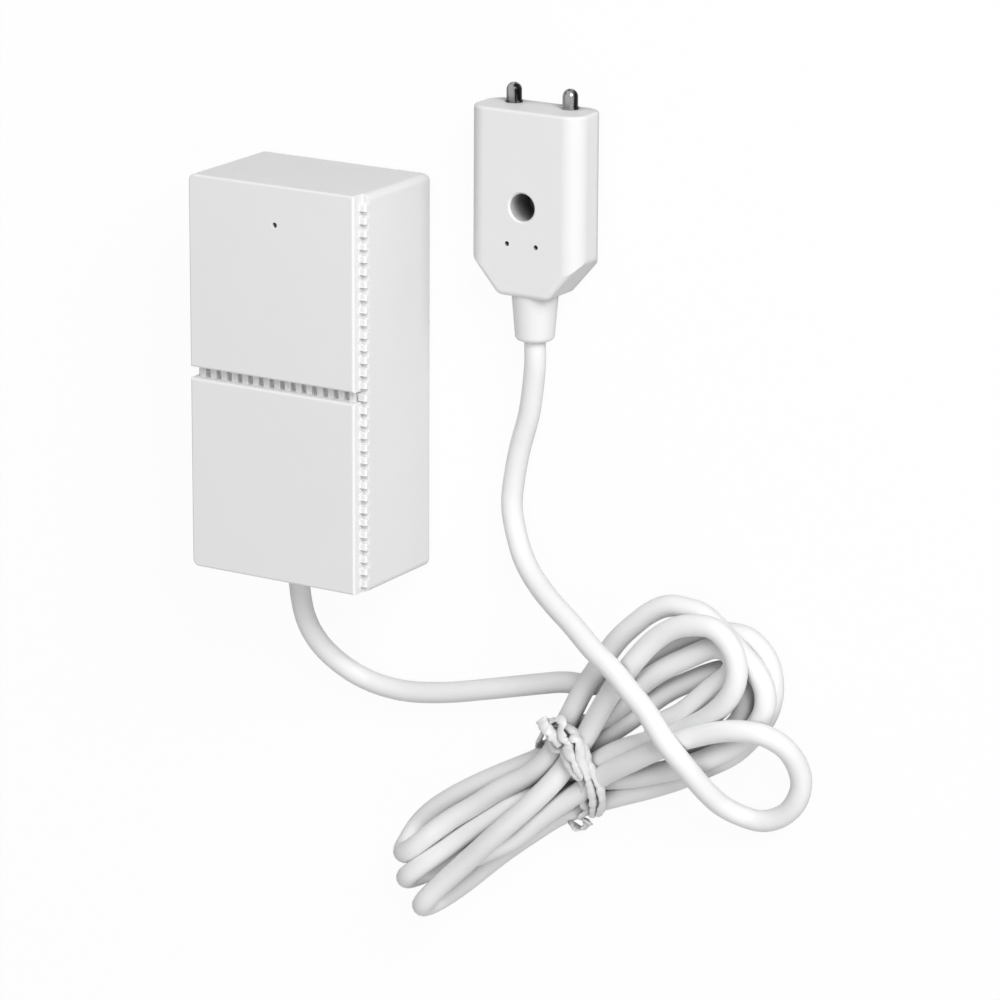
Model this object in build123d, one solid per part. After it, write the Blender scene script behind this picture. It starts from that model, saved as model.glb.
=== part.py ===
from build123d import *
import math
import os

# A water leak sensor: a small battery box with a wired contact probe on a tied cord.
# Everything lies on a table: X is the box's width, Y its height, Z its depth.
# The origin is the centre of the box's back face, and Z is 0 on the table.
# All sizes are in millimetres.

os.makedirs("parts", exist_ok=True)

# Box
BOX_WIDTH = 41.0
BOX_HEIGHT = 82.0
BOX_DEPTH = 26.6
WALL = 1.8
BOX_CORNER_RADIUS = 1.5
FRONT_EDGE_RADIUS = 0.5
BACK_EDGE_RADIUS = 1.2
FIT_GAP = 0.15

# Toothed groove and rebate in the cover's front
GROOVE_HEIGHT = 2.3
GROOVE_DROP = 0.1
GROOVE_DEPTH = 3.2
REBATE_WIDTH = 1.5
TOOTH_PITCH = 2.576
TOOTH_WIDTH = 1.35
TOOTH_HEIGHT = 1.1
TOOTH_CHAMFER = 0.3
TEETH_DROP = 0.28

# Indicator light and its guide
LIGHT_FROM_TOP = 8.1
LIGHT_OFFSET = 0.3
LIGHT_HOLE_RADIUS = 0.6
GUIDE_RADIUS = 1.5
GUIDE_GAP = 0.06
SLEEVE_WALL = 1.0
SLEEVE_LENGTH = 12.0
LED_LENGTH = 3.2
LED_WIDTH = 2.8
LED_HEIGHT = 1.9

# Rear base
BASE_THICKNESS = 2.4
LUG_WIDTH = 6.0
LUG_THICKNESS = 1.3
LUG_REACH = 0.9
LUG_SPACING = 20.0
WALL_HOLE_RADIUS = 1.9
WALL_HOLE_FROM_SIDE = 7.0
WALL_HOLE_FROM_TOP = 7.5
WALL_HEAD_RADIUS = 3.5

# Cover screws
COVER_SCREW_FROM_SIDE = 5.0
COVER_SCREW_FROM_BOTTOM = 5.8
COVER_BOSS_RADIUS = 2.9
COVER_SCREW_RADIUS = 1.25
COVER_SCREW_LENGTH = 8.0
COVER_HEAD_RADIUS = 2.3
COVER_HEAD_HEIGHT = 1.3
SCREW_GAP = 0.04
DRIVE_SLOT_WIDTH = 0.5
DRIVE_DEPTH = 0.6

# Circuit board
BOARD_STANDOFF = 2.6
BOARD_THICKNESS = 1.6
BOARD_SIDE_GAP = 0.8
BOARD_TOP_GAP = 0.8
BOARD_BOTTOM_GAP = 7.6
BOARD_NOTCH_WIDTH = 8.6
BOARD_NOTCH_HEIGHT = 9.8
BOARD_SCREW_FROM_SIDE = 2.4
BOARD_SCREW_FROM_BOTTOM = 10.2
BOARD_SCREW_FROM_TOP = 13.8
BOARD_BOSS_RADIUS = 2.4
BOARD_SCREW_RADIUS = 1.0
BOARD_SCREW_GRIP = 2.2
BOARD_HEAD_RADIUS = 1.9
BOARD_HEAD_HEIGHT = 1.2

# Cells and their holder
CELL_NUB_RADIUS = 1.9
CELL_NUB_HEIGHT = 0.8
CELL_GAP = 0.7
CELL_RIM = 0.4
HOLDER_FLOOR = 1.0
HOLDER_WALL = 1.2
HOLDER_END_HEIGHT = 9.4
HOLDER_SIDE_STRIP = 5.75
HOLDER_BLOCK_GAP = 0.35
HOLDER_LIGHT_GAP = 3.45
CONTACT_THICKNESS = 0.4
CONTACT_WIDTH = 7.5
CONTACT_HEIGHT = 7.0
SPRING_DEPTH = 2.4
SEAT_GAP = 0.1

# Parts on the board
BLOCK_WIDTH = 10.4
BLOCK_DEPTH = 7.8
BLOCK_HEIGHT = 9.0
BLOCK_INSET = 1.4
BLOCK_CHAMFER = 1.4
POLE_SPACING = 5.2
POLE_HOLE_RADIUS = 1.2
POLE_HOLE_DEPTH = 3.6
POLE_HOLE_RISE = 4.0
POLE_SCREW_RADIUS = 1.5
POLE_SCREW_HEIGHT = 1.4
POLE_RECESS = 1.8
RADIO_WIDTH = 12.0
RADIO_DEPTH = 6.6
RADIO_HEIGHT = 2.0
CHIP_WIDTH = 5.0
CHIP_HEIGHT = 0.9
CAPACITOR_RADIUS = 2.0
CAPACITOR_HEIGHT = 5.4
ANTENNA_LENGTH = 24.0
ANTENNA_HEIGHT = 5.0
ANTENNA_STRIP = 1.0
ANTENNA_THICKNESS = 0.5

# Cord
CORD_RADIUS = 2.2
CORD_FIT = 0.05
CORD_EXIT_X = -3.6
CORD_EXIT_Z = BOX_DEPTH / 2
CORE_RADIUS = 0.65
CORE_SPACING = 1.7
CORE_BEND = 0.9
ARC_SHARE = 0.45
FIRST_RUN = 15.5

# Gland where the cord leaves the box
GLAND_NECK_RADIUS = 3.4
GLAND_FLANGE_RADIUS = 4.3
GLAND_INNER_FLANGE = 1.0
GLAND_OUTER_FLANGE = 2.6
GLAND_ROUND = 1.0

# Clamp inside the box
CLAMP_WIDTH = 13.0
CLAMP_DEPTH = 3.2
CLAMP_CAP = 1.6
CLAMP_SCREW_SPACING = 8.8
CLAMP_SCREW_RADIUS = 0.9
CLAMP_SCREW_GRIP = 5.0
CLAMP_HEAD_RADIUS = 1.7
CLAMP_HEAD_HEIGHT = 1.1
CLAMP_SPLIT_GAP = 0.2
SHEATH_STUB = 0.5

# Probe body, lying beside the box with its pins pointing away from the cord
PROBE_X = 48.0
PROBE_TOP_Y = 58.5
PROBE_WIDTH = 25.4
PROBE_LENGTH = 37.5
PROBE_THICKNESS = 10.8
PROBE_SIDE_RADIUS = 3.8
PROBE_EDGE_RADIUS = 0.6
TAPER_LENGTH = 8.0
TAPER_END_WIDTH = 11.4
TAPER_ROUND = 2.2
TAPER_SIDE_ROUND = 1.6
TAPER_EDGE_RADIUS = 1.2
PROBE_HOLE_RADIUS = 2.8
PROBE_HOLE_FROM_TOP = 19.2
PROBE_SCREW_RADIUS = 1.75
PROBE_SCREW_LAND = 3.0
PROBE_RIM = 0.35
DIMPLE_RADIUS = 0.5
DIMPLE_DEPTH = 1.6
DIMPLE_SPACING = 6.6
DIMPLE_FROM_TOP = 26.8

# Contact pins
PIN_RADIUS = 1.55
PIN_PROUD = 3.95
PIN_SHANK = 11.0
PIN_SHANK_RADIUS = 1.2
PIN_COLLAR_RADIUS = 1.75
PIN_COLLAR_HEIGHT = 0.4
PIN_SPACING = 12.8
PIN_HEIGHT = 3.2
PIN_FIT = 0.03

# Boot where the cord enters the probe
BOOT_RADIUS = 4.7
BOOT_END_RADIUS = 3.9
BOOT_LENGTH = 9.5
BOOT_INSERT = 4.0
BOOT_BORE = 6.0
BOOT_FIT = 0.05
BOOT_ROUND = 1.1
BOOT_Z = 5.3

# Tied hank, measured along and across its own long axis
HANK_X = 59.0
HANK_Y = -75.0
HANK_ANGLE = 35.0
HANK_EDGE_RADIUS = 3.0
LOOPS_THICKNESS = 10.2
LOOPS_REACH = 56.0
LOOPS_LENGTH = 52.0
LOOPS_WIDTH = 35.0
LOOPS_SIDE = 1.2
FOLDS_THICKNESS = 10.6
FOLDS_REACH = 57.0
FOLDS_WIDTH = 21.6
FOLDS_SIDE = -2.2
FOLDS_CORNER_RADIUS = 8.0
WAIST_WIDTH = 20.4
WAIST_LENGTH = 6.6
WAIST_BOTTOM = 2.1
WAIST_TOP = 10.3
WAIST_EDGE_RADIUS = 2.0

# Tie wound twice round the waist, and its twisted ends
TIE_THICKNESS = 1.8
TIE_WIDTH = 2.2
TIE_GAP = 0.1
TIE_PITCH = 3.0
TIE_TAIL_RADIUS = 0.9
TIE_BEND = 1.2

OVERRUN = 1.0

# Worked out from the sizes above
HALF_WIDTH = BOX_WIDTH / 2
HALF_HEIGHT = BOX_HEIGHT / 2
CAVITY_WIDTH = BOX_WIDTH - 2 * WALL
CAVITY_HEIGHT = BOX_HEIGHT - 2 * WALL
CAVITY_TOP = BOX_DEPTH - GROOVE_DEPTH - WALL
PLATE_RIGHT = HALF_WIDTH - REBATE_WIDTH
PLATE_MIDDLE = -REBATE_WIDTH / 2
GROOVE_TOP = GROOVE_HEIGHT / 2 - GROOVE_DROP
GROOVE_BOTTOM = -GROOVE_HEIGHT / 2 - GROOVE_DROP
LIGHT_Y = HALF_HEIGHT - LIGHT_FROM_TOP
BOARD_BOTTOM = BASE_THICKNESS + BOARD_STANDOFF
BOARD_TOP = BOARD_BOTTOM + BOARD_THICKNESS
BOARD_LOW_Y = -CAVITY_HEIGHT / 2 + BOARD_BOTTOM_GAP
BOARD_HIGH_Y = CAVITY_HEIGHT / 2 - BOARD_TOP_GAP
BOARD_WIDTH = CAVITY_WIDTH - 2 * BOARD_SIDE_GAP
BOARD_SCREW_X = BOARD_WIDTH / 2 - BOARD_SCREW_FROM_SIDE
WALL_HOLE_X = HALF_WIDTH - WALL_HOLE_FROM_SIDE
WALL_HOLE_Y = HALF_HEIGHT - WALL_HOLE_FROM_TOP
COVER_SCREW_X = HALF_WIDTH - COVER_SCREW_FROM_SIDE
COVER_SCREW_Y = -HALF_HEIGHT + COVER_SCREW_FROM_BOTTOM
BLOCK_FRONT = BOARD_LOW_Y + BLOCK_INSET
HOLDER_LOW_Y = BLOCK_FRONT + BLOCK_DEPTH + HOLDER_BLOCK_GAP
HOLDER_HIGH_Y = LIGHT_Y - LED_LENGTH / 2 - HOLDER_LIGHT_GAP
HOLDER_Y = (HOLDER_LOW_Y + HOLDER_HIGH_Y) / 2
HOLDER_LENGTH = HOLDER_HIGH_Y - HOLDER_LOW_Y
HOLDER_INNER_LENGTH = HOLDER_LENGTH - 2 * HOLDER_WALL
HOLDER_WIDTH = BOARD_WIDTH - 2 * HOLDER_SIDE_STRIP
CELL_LENGTH = HOLDER_INNER_LENGTH - CONTACT_THICKNESS - SPRING_DEPTH - 2 * SEAT_GAP
CELL_RADIUS = (HOLDER_WIDTH - 2 * HOLDER_WALL - 2 * SEAT_GAP - CELL_GAP) / 4
CELL_Z = BOARD_TOP + HOLDER_FLOOR + SEAT_GAP + CELL_RADIUS
CELL_X = CELL_RADIUS + CELL_GAP / 2
CLAMP_FRONT = -CAVITY_HEIGHT / 2 + GLAND_INNER_FLANGE + 2 * FIT_GAP
SHEATH_END = CLAMP_FRONT + CLAMP_DEPTH + SHEATH_STUB
POLE_HOLE_Z = BOARD_TOP + POLE_HOLE_RISE
PROBE_BOTTOM_Y = PROBE_TOP_Y - PROBE_LENGTH
PROBE_HOLE_Y = PROBE_TOP_Y - PROBE_HOLE_FROM_TOP
PROBE_SHEATH_END = PROBE_BOTTOM_Y - BOOT_LENGTH + BOOT_BORE
WAIST_HEIGHT = WAIST_TOP - WAIST_BOTTOM


def block(width, depth, height, x=0, y=0, z=0):
    """A box centred on x and y, standing on z."""
    return Pos(x, y, z) * Box(width, depth, height, align=(Align.CENTER, Align.CENTER, Align.MIN))


def span(low, high):
    """A box between two corners."""
    size = [b - a for a, b in zip(low, high)]
    return Pos(*low) * Box(*size, align=(Align.MIN, Align.MIN, Align.MIN))


def post(radius, height, x=0, y=0, z=0):
    """A round post standing on z."""
    return Pos(x, y, z) * Cylinder(radius, height, align=(Align.CENTER, Align.CENTER, Align.MIN))


def rod_along_y(radius, start_y, length, x=0, z=0):
    """A round rod along +Y from start_y."""
    plane = Plane(origin=(x, start_y, z), x_dir=(1, 0, 0), z_dir=(0, 1, 0))
    return extrude(plane * Circle(radius), length)


def rounded_prism(width, height, depth, radius, z=0):
    """A prism along Z with rounded corners."""
    return Pos(0, 0, z) * extrude(RectangleRounded(width, height, radius), depth)


def slotted_screw(head_radius, head_height, shank_radius, shank_length):
    """A pan head screw with its head's underside at the origin and its shank along -Z."""
    head = post(head_radius, head_height)
    head = fillet(head.edges().sort_by(Axis.Z)[-1], head_height / 3)
    shank = post(shank_radius, shank_length, z=-shank_length)
    shank = chamfer(shank.edges().sort_by(Axis.Z)[0], shank_radius / 3)
    slot = block(3 * head_radius, DRIVE_SLOT_WIDTH, head_height, z=head_height - DRIVE_DEPTH)
    return head + shank - slot


def tube_route(points, radius, bend_radii=None):
    """A round tube along straight runs joined by tangent arcs as large as the runs allow."""
    corners = [Vector(*p) for p in points]
    runs = [(b - a) for a, b in zip(corners, corners[1:])]
    radii = bend_radii or []
    if not radii:
        for first, second in zip(runs, runs[1:]):
            turn = math.radians(first.get_angle(second))
            shorter = min(first.length, second.length)
            radii.append(ARC_SHARE * shorter / math.tan(turn / 2))
    path = FilletPolyline(*corners, radius=radii)
    section = Plane(origin=corners[0], z_dir=runs[0]) * Circle(radius)
    return sweep(section, path=path), path, radii


def teeth_along_rebate():
    """Short moulded bars across the rebate down the right front edge."""
    count = int(BOX_HEIGHT / TOOTH_PITCH)
    floor = BOX_DEPTH - GROOVE_DEPTH
    profile = Polyline(
        (PLATE_RIGHT - TOOTH_CHAMFER, floor - TOOTH_CHAMFER),
        (PLATE_RIGHT - TOOTH_CHAMFER, floor + TOOTH_HEIGHT),
        (HALF_WIDTH - TOOTH_CHAMFER, floor + TOOTH_HEIGHT),
        (HALF_WIDTH, floor + TOOTH_HEIGHT - TOOTH_CHAMFER),
        (HALF_WIDTH, floor - TOOTH_CHAMFER),
        close=True,
    )
    tooth = extrude(Plane.XZ * make_face(profile), TOOTH_WIDTH / 2, both=True)
    middle = (count - 1) / 2
    return [Pos(0, (i - middle) * TOOTH_PITCH - TEETH_DROP, 0) * tooth for i in range(count)]


def teeth_along_groove():
    """The same bars across the groove between the two front plates."""
    count = int((BOX_WIDTH - REBATE_WIDTH) / TOOTH_PITCH)
    floor = BOX_DEPTH - GROOVE_DEPTH
    length = GROOVE_HEIGHT + 2 * TOOTH_CHAMFER
    tooth = block(TOOTH_WIDTH, length, TOOTH_HEIGHT + TOOTH_CHAMFER, 0, -GROOVE_DROP, floor - TOOTH_CHAMFER)
    middle = (count - 1) / 2
    return [Pos(PLATE_MIDDLE + (i - middle) * TOOTH_PITCH, 0, 0) * tooth for i in range(count)]


def front_cover():
    """The deep moulded shell with two front plates, the toothed groove and the toothed rebate."""
    outer = rounded_prism(BOX_WIDTH, BOX_HEIGHT, BOX_DEPTH, BOX_CORNER_RADIUS)
    back_edges = outer.edges().group_by(Axis.Z)[0]
    outer = fillet(back_edges, BACK_EDGE_RADIUS)
    floor = BOX_DEPTH - GROOVE_DEPTH
    groove = span(
        (-HALF_WIDTH - OVERRUN, GROOVE_BOTTOM, floor),
        (HALF_WIDTH + OVERRUN, GROOVE_TOP, BOX_DEPTH + OVERRUN),
    )
    rebate = span(
        (PLATE_RIGHT, -HALF_HEIGHT - OVERRUN, floor),
        (HALF_WIDTH + OVERRUN, HALF_HEIGHT + OVERRUN, BOX_DEPTH + OVERRUN),
    )
    shell = outer - groove - rebate
    front_edges = shell.edges().group_by(Axis.Z)[-1]
    shell = fillet(front_edges, FRONT_EDGE_RADIUS)
    cavity = rounded_prism(CAVITY_WIDTH, CAVITY_HEIGHT, CAVITY_TOP + OVERRUN, BOX_CORNER_RADIUS, -OVERRUN)
    shell -= cavity
    for low_y, high_y in (
        (GROOVE_TOP + WALL, CAVITY_HEIGHT / 2),
        (-CAVITY_HEIGHT / 2, GROOVE_BOTTOM - WALL),
    ):
        shell -= span(
            (-CAVITY_WIDTH / 2, low_y, CAVITY_TOP - OVERRUN),
            (PLATE_RIGHT - WALL, high_y, BOX_DEPTH - WALL),
        )
    for tooth in teeth_along_rebate() + teeth_along_groove():
        shell += tooth
    for side in (-1, 1):
        x = side * COVER_SCREW_X
        boss_bottom = BASE_THICKNESS + FIT_GAP
        shell += post(COVER_BOSS_RADIUS, BOX_DEPTH - WALL - boss_bottom, x, COVER_SCREW_Y, boss_bottom)
        pilot_depth = COVER_SCREW_LENGTH + OVERRUN
        shell -= post(COVER_SCREW_RADIUS + SCREW_GAP, pilot_depth, x, COVER_SCREW_Y, boss_bottom)
        pocket_x = side * LUG_SPACING / 2
        pocket_half = LUG_WIDTH / 2 + FIT_GAP
        pocket_low = BASE_THICKNESS - LUG_THICKNESS - FIT_GAP
        shell -= span(
            (pocket_x - pocket_half, CAVITY_HEIGHT / 2 - OVERRUN, pocket_low),
            (pocket_x + pocket_half, CAVITY_HEIGHT / 2 + LUG_REACH, BASE_THICKNESS + FIT_GAP),
        )
    sleeve_radius = GUIDE_RADIUS + GUIDE_GAP + SLEEVE_WALL
    sleeve_bottom = BOX_DEPTH - WALL - SLEEVE_LENGTH
    shell += post(sleeve_radius, SLEEVE_LENGTH, LIGHT_OFFSET, LIGHT_Y, sleeve_bottom)
    shell -= post(GUIDE_RADIUS + GUIDE_GAP, SLEEVE_LENGTH, LIGHT_OFFSET, LIGHT_Y, sleeve_bottom)
    shell -= post(LIGHT_HOLE_RADIUS, WALL + 2 * OVERRUN, LIGHT_OFFSET, LIGHT_Y, BOX_DEPTH - WALL - OVERRUN)
    shell -= rod_along_y(
        GLAND_NECK_RADIUS + CORD_FIT, -HALF_HEIGHT - OVERRUN, WALL + 2 * OVERRUN, CORD_EXIT_X, CORD_EXIT_Z
    )
    return shell


def wall_hole_places():
    return [(side * WALL_HOLE_X, WALL_HOLE_Y) for side in (-1, 1)]


def cover_screw_places():
    return [(side * COVER_SCREW_X, COVER_SCREW_Y) for side in (-1, 1)]


def board_screw_places():
    rows = (BOARD_LOW_Y + BOARD_SCREW_FROM_BOTTOM, BOARD_HIGH_Y - BOARD_SCREW_FROM_TOP)
    return [(side * BOARD_SCREW_X, y) for side in (-1, 1) for y in rows]


def clamp_screw_places():
    return [CORD_EXIT_X + side * CLAMP_SCREW_SPACING / 2 for side in (-1, 1)]


def rear_base():
    """The plate that closes the back, with board bosses, the cord's saddle and wall screw holes."""
    width = CAVITY_WIDTH - 2 * FIT_GAP
    height = CAVITY_HEIGHT - 2 * FIT_GAP
    base = rounded_prism(width, height, BASE_THICKNESS, BOX_CORNER_RADIUS)
    for side in (-1, 1):
        base += span(
            (side * LUG_SPACING / 2 - LUG_WIDTH / 2, height / 2 - OVERRUN, BASE_THICKNESS - LUG_THICKNESS),
            (side * LUG_SPACING / 2 + LUG_WIDTH / 2, height / 2 + LUG_REACH, BASE_THICKNESS),
        )
    for x, y in board_screw_places():
        base += post(BOARD_BOSS_RADIUS, BOARD_STANDOFF, x, y, BASE_THICKNESS)
    saddle_middle = CLAMP_FRONT + CLAMP_DEPTH / 2
    saddle_height = CORD_EXIT_Z - CLAMP_SPLIT_GAP / 2 - BASE_THICKNESS
    base += block(CLAMP_WIDTH, CLAMP_DEPTH, saddle_height, CORD_EXIT_X, saddle_middle, BASE_THICKNESS)
    base -= rod_along_y(
        CORD_RADIUS + CORD_FIT, CLAMP_FRONT - OVERRUN, CLAMP_DEPTH + 2 * OVERRUN, CORD_EXIT_X, CORD_EXIT_Z
    )
    for x in clamp_screw_places():
        pilot_bottom = BASE_THICKNESS + saddle_height - CLAMP_SCREW_GRIP - OVERRUN
        base -= post(CLAMP_SCREW_RADIUS + SCREW_GAP, 2 * CLAMP_SCREW_GRIP, x, saddle_middle, pilot_bottom)
    for x, y in board_screw_places():
        pilot_bottom = BOARD_BOTTOM - BOARD_SCREW_GRIP - SEAT_GAP
        base -= post(BOARD_SCREW_RADIUS + SCREW_GAP, 2 * BOARD_SCREW_GRIP, x, y, pilot_bottom)
    for x, y in wall_hole_places():
        base -= post(WALL_HOLE_RADIUS, BASE_THICKNESS + 2 * OVERRUN, x, y, -OVERRUN)
        sink = WALL_HEAD_RADIUS - WALL_HOLE_RADIUS
        cone = Cone(WALL_HOLE_RADIUS, WALL_HEAD_RADIUS, sink, align=(Align.CENTER, Align.CENTER, Align.MAX))
        base -= Pos(x, y, BASE_THICKNESS) * cone
    for x, y in cover_screw_places():
        base -= post(COVER_SCREW_RADIUS + FIT_GAP, BASE_THICKNESS + 2 * OVERRUN, x, y, -OVERRUN)
        base -= post(COVER_HEAD_RADIUS + FIT_GAP, COVER_HEAD_HEIGHT + OVERRUN, x, y, -OVERRUN)
    return base


def cover_screws():
    """Two screws from the back through the base into the cover's bosses."""
    screw = slotted_screw(COVER_HEAD_RADIUS, COVER_HEAD_HEIGHT, COVER_SCREW_RADIUS, COVER_SCREW_LENGTH)
    flipped = Rot(180, 0, 0) * screw
    return [Pos(x, y, COVER_HEAD_HEIGHT) * flipped for x, y in cover_screw_places()]


def cord_gland():
    """A flanged bush that holds the cord in the box's bottom wall."""
    bore = CORD_RADIUS + CORD_FIT
    outer_end = HALF_HEIGHT + GLAND_OUTER_FLANGE
    inner_face = CAVITY_HEIGHT / 2 - FIT_GAP
    with_round = outer_end - GLAND_ROUND
    profile = Polyline(
        (bore, outer_end),
        (GLAND_FLANGE_RADIUS - GLAND_ROUND, outer_end),
        (GLAND_FLANGE_RADIUS, with_round),
        (GLAND_FLANGE_RADIUS, HALF_HEIGHT),
        (GLAND_NECK_RADIUS, HALF_HEIGHT),
        (GLAND_NECK_RADIUS, inner_face),
        (GLAND_FLANGE_RADIUS, inner_face),
        (GLAND_FLANGE_RADIUS, inner_face - GLAND_INNER_FLANGE),
        (bore, inner_face - GLAND_INNER_FLANGE),
        close=True,
    )
    plane = Plane(origin=(CORD_EXIT_X, 0, CORD_EXIT_Z), x_dir=(1, 0, 0), z_dir=(0, 0, 1))
    body = plane * (Rot(180, 0, 0) * make_face(profile))
    axis = Axis((CORD_EXIT_X, 0, CORD_EXIT_Z), (0, 1, 0))
    return revolve(body, axis)


def cord_clamp():
    """The saddle's cap, pulled down on the cord by two screws."""
    height = CORD_RADIUS + CLAMP_CAP - CLAMP_SPLIT_GAP / 2
    bottom = CORD_EXIT_Z + CLAMP_SPLIT_GAP / 2
    middle = CLAMP_FRONT + CLAMP_DEPTH / 2
    cap = block(CLAMP_WIDTH, CLAMP_DEPTH, height, CORD_EXIT_X, middle, bottom)
    top_edges = cap.edges().filter_by(Axis.Y).group_by(Axis.Z)[-1]
    cap = fillet(top_edges, CLAMP_CAP)
    cap -= rod_along_y(
        CORD_RADIUS + CORD_FIT, CLAMP_FRONT - OVERRUN, CLAMP_DEPTH + 2 * OVERRUN, CORD_EXIT_X, CORD_EXIT_Z
    )
    for x in clamp_screw_places():
        cap -= post(CLAMP_SCREW_RADIUS + SCREW_GAP, 2 * height, x, middle, bottom - OVERRUN)
    return cap


def clamp_screws():
    top = CORD_EXIT_Z + CORD_RADIUS + CLAMP_CAP
    grip = top - CORD_EXIT_Z + CLAMP_SCREW_GRIP
    screw = slotted_screw(CLAMP_HEAD_RADIUS, CLAMP_HEAD_HEIGHT, CLAMP_SCREW_RADIUS, grip)
    middle = CLAMP_FRONT + CLAMP_DEPTH / 2
    return [Pos(x, middle, top) * screw for x in clamp_screw_places()]


def circuit_board():
    """The board on the base's bosses, notched round the wall screws."""
    middle_y = (BOARD_LOW_Y + BOARD_HIGH_Y) / 2
    board = block(BOARD_WIDTH, BOARD_HIGH_Y - BOARD_LOW_Y, BOARD_THICKNESS, 0, middle_y, BOARD_BOTTOM)
    for side in (-1, 1):
        notch_x = side * (BOARD_WIDTH - BOARD_NOTCH_WIDTH + OVERRUN) / 2
        notch_y = BOARD_HIGH_Y - BOARD_NOTCH_HEIGHT / 2 + OVERRUN / 2
        board -= block(
            BOARD_NOTCH_WIDTH + OVERRUN, BOARD_NOTCH_HEIGHT + OVERRUN, 3 * BOARD_THICKNESS,
            notch_x, notch_y, BOARD_BOTTOM - BOARD_THICKNESS,
        )
    hole_bottom = BOARD_BOTTOM - BOARD_THICKNESS
    for x, y in board_screw_places():
        board -= post(BOARD_SCREW_RADIUS + FIT_GAP, 3 * BOARD_THICKNESS, x, y, hole_bottom)
    return board


def board_screws():
    grip = BOARD_THICKNESS + BOARD_SCREW_GRIP
    screw = slotted_screw(BOARD_HEAD_RADIUS, BOARD_HEAD_HEIGHT, BOARD_SCREW_RADIUS, grip)
    return [Pos(x, y, BOARD_TOP) * screw for x, y in board_screw_places()]


def cell_holder():
    """A tray for two cells, soldered to the board."""
    tray = block(HOLDER_WIDTH, HOLDER_LENGTH, HOLDER_END_HEIGHT, 0, HOLDER_Y, BOARD_TOP)
    inner_width = HOLDER_WIDTH - 2 * HOLDER_WALL
    floor = BOARD_TOP + HOLDER_FLOOR
    tray -= block(inner_width, HOLDER_INNER_LENGTH, HOLDER_END_HEIGHT, 0, HOLDER_Y, floor)
    side_cut = HOLDER_INNER_LENGTH - 4 * HOLDER_WALL
    tray -= block(HOLDER_WIDTH + OVERRUN, side_cut, HOLDER_END_HEIGHT, 0, HOLDER_Y, CELL_Z)
    return tray


def cell(side):
    """One round cell. The right one lies the other way round."""
    body_length = CELL_LENGTH - CELL_NUB_HEIGHT
    profile = Polyline(
        (0, 0),
        (CELL_RADIUS - CELL_RIM, 0),
        (CELL_RADIUS, CELL_RIM),
        (CELL_RADIUS, body_length - CELL_RIM),
        (CELL_RADIUS - CELL_RIM, body_length),
        (CELL_NUB_RADIUS, body_length),
        (CELL_NUB_RADIUS, CELL_LENGTH),
        (0, CELL_LENGTH),
        close=True,
    )
    body = revolve(make_face(profile), Axis.Y)
    negative_end = SPRING_DEPTH + SEAT_GAP - HOLDER_INNER_LENGTH / 2
    turned = body if side < 0 else Rot(0, 0, 180) * body
    return Pos(side * CELL_X, HOLDER_Y - side * negative_end, CELL_Z) * turned


def contact_plates():
    """The flat positive contacts, one at each end of the tray."""
    plates = []
    for side in (-1, 1):
        y = HOLDER_Y - side * (HOLDER_INNER_LENGTH - CONTACT_THICKNESS) / 2
        bottom = CELL_Z - CONTACT_HEIGHT / 2
        plates.append(block(CONTACT_WIDTH, CONTACT_THICKNESS, CONTACT_HEIGHT, side * CELL_X, y, bottom))
    return plates


def contact_springs():
    """The bent leaf springs at the cells' negative ends."""
    half = CONTACT_HEIGHT / 2
    line = FilletPolyline(
        (CONTACT_THICKNESS / 2, half),
        (CONTACT_THICKNESS / 2, -half),
        (SPRING_DEPTH - CONTACT_THICKNESS / 2, 0),
        (SPRING_DEPTH / 2, half),
        radius=CONTACT_THICKNESS,
    )
    leaf = extrude(Plane.YZ * trace(line, CONTACT_THICKNESS), CONTACT_WIDTH / 2, both=True)
    springs = []
    for side in (-1, 1):
        turned = leaf if side < 0 else Rot(0, 0, 180) * leaf
        y = HOLDER_Y + side * HOLDER_INNER_LENGTH / 2
        springs.append(Pos(side * CELL_X, y, CELL_Z) * turned)
    return springs


def terminal_block():
    """A two-pole block that takes the cord's cores."""
    middle = BLOCK_FRONT + BLOCK_DEPTH / 2
    body = block(BLOCK_WIDTH, BLOCK_DEPTH, BLOCK_HEIGHT, CORD_EXIT_X, middle, BOARD_TOP)
    front_top = body.edges().filter_by(Axis.X).sort_by(Axis.Z)[-2:].sort_by(Axis.Y)[0]
    body = chamfer(front_top, BLOCK_CHAMFER)
    hole_length = POLE_HOLE_DEPTH + OVERRUN
    for side in (-1, 1):
        x = CORD_EXIT_X + side * POLE_SPACING / 2
        body -= rod_along_y(POLE_HOLE_RADIUS, BLOCK_FRONT - OVERRUN, hole_length, x, POLE_HOLE_Z)
        recess_radius = POLE_SCREW_RADIUS + FIT_GAP
        recess_bottom = BOARD_TOP + BLOCK_HEIGHT - POLE_RECESS
        body -= post(recess_radius, POLE_RECESS + OVERRUN, x, middle, recess_bottom)
    return body


def terminal_screws():
    screws = []
    for side in (-1, 1):
        x = CORD_EXIT_X + side * POLE_SPACING / 2
        bottom = BOARD_TOP + BLOCK_HEIGHT - POLE_RECESS
        screw = post(POLE_SCREW_RADIUS, POLE_SCREW_HEIGHT, x, BLOCK_FRONT + BLOCK_DEPTH / 2, bottom)
        slot = block(
            3 * POLE_SCREW_RADIUS, DRIVE_SLOT_WIDTH, POLE_SCREW_HEIGHT,
            x, BLOCK_FRONT + BLOCK_DEPTH / 2, bottom + POLE_SCREW_HEIGHT - DRIVE_DEPTH,
        )
        screws.append(screw - slot)
    return screws


def radio_module():
    x = BOARD_WIDTH / 2 - RADIO_WIDTH / 2 - FIT_GAP
    return block(RADIO_WIDTH, RADIO_DEPTH, RADIO_HEIGHT, x, BLOCK_FRONT + RADIO_DEPTH / 2, BOARD_TOP)


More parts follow.
